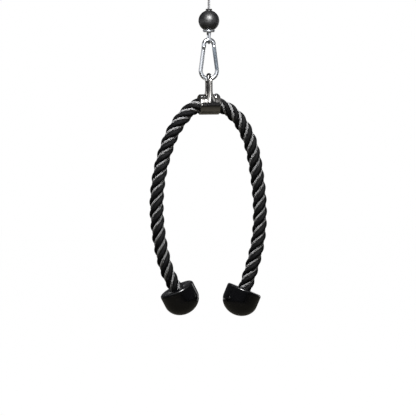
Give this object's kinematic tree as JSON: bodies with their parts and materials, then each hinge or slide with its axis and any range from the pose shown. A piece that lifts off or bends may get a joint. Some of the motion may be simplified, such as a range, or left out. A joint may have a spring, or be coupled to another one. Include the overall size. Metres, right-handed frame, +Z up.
{
  "type": "triceps rope attachment",
  "caption": "Two-handed pull rope for a cable machine: a bent rope with round rubber end knobs, hung by a cast stirrup and snap hook from a short cable end with a stop ball.",
  "frame": {"origin": "bearing point of the cable's top eye, at the top of the inside of its thimble", "axes": "+Z up along the cable, +X to the right across the two rope legs, +Y away from the viewer"},
  "size_m": [0.2322, 0.0694, 0.6851],
  "materials": {
    "galvanised": "grey galvanised wire rope and pressed sleeves",
    "bright_steel": "bright zinc plate with blue-grey reflections",
    "cast_chrome": "polished chrome over a casting",
    "ball_rubber": "satin black moulded rubber",
    "sleeve_plastic": "matt black moulding",
    "knob_rubber": "glossy black moulded rubber",
    "rope": "three-strand black rope with a pale tracer yarn",
    "inner_steel": "plain steel, hidden inside"
  },
  "bodies": {
    "root": {"cable": "galvanised", "thimble": "galvanised", "loop_ferrule": "galvanised", "stop_ferrule": "galvanised"},
    "ball": {"stop_ball": "ball_rubber", "ball_sleeve": "sleeve_plastic"},
    "eye": {"cable_eye": "bright_steel"},
    "hook": {"hook_body": "bright_steel", "gate_rivet": "bright_steel"},
    "gate": {"gate": "bright_steel", "latch_pin": "inner_steel", "gate_plunger": "inner_steel", "gate_spring": "inner_steel"},
    "stirrup": {"stirrup": "cast_chrome", "rope_screw": "bright_steel", "rope_middle": "rope"},
    "left_leg": {"rope_left": "rope", "cap_left": "knob_rubber", "end_band_left": "inner_steel", "end_washer_left": "inner_steel", "end_screw_left": "inner_steel"},
    "right_leg": {"rope_right": "rope", "cap_right": "knob_rubber", "end_band_right": "inner_steel", "end_washer_right": "inner_steel", "end_screw_right": "inner_steel"}
  },
  "joints": [
    {"name": "ball_spin", "type": "hinge", "parent": "root", "child": "ball", "pos_m": [0, 0, -0.106], "axis": [0, 0, 1], "continuous": true},
    {"name": "eye_swivel", "type": "hinge", "parent": "root", "child": "eye", "pos_m": [0, 0, -0.1491], "axis": [0, 0, 1], "continuous": true},
    {"name": "hook_swing", "type": "hinge", "parent": "eye", "child": "hook", "pos_m": [0, 0, -0.1491], "axis": [0, 1, 0], "range_deg": [-70, 70]},
    {"name": "gate_open", "type": "hinge", "parent": "hook", "child": "gate", "pos_m": [0.01, 0, -0.15582], "axis": [0, 1, 0], "range_deg": [0, 18], "stiffness_Nm_per_rad": 0.12, "springref_deg": -20.05},
    {"name": "stirrup_swing", "type": "hinge", "parent": "hook", "child": "stirrup", "pos_m": [0, 0, -0.218], "axis": [1, 0, 0], "range_deg": [-70, 70]},
    {"name": "left_leg_bend", "type": "hinge", "parent": "stirrup", "child": "left_leg", "pos_m": [-0.02975, 0, -0.27209], "axis": [0, 1, 0], "range_deg": [-3.5, 40], "stiffness_Nm_per_rad": 1.2, "springref_deg": 3.79},
    {"name": "right_leg_bend", "type": "hinge", "parent": "stirrup", "child": "right_leg", "pos_m": [0.02975, 0, -0.27209], "axis": [0, -1, 0], "range_deg": [-3.5, 40], "stiffness_Nm_per_rad": 1.2, "springref_deg": 4.32}
  ]
}
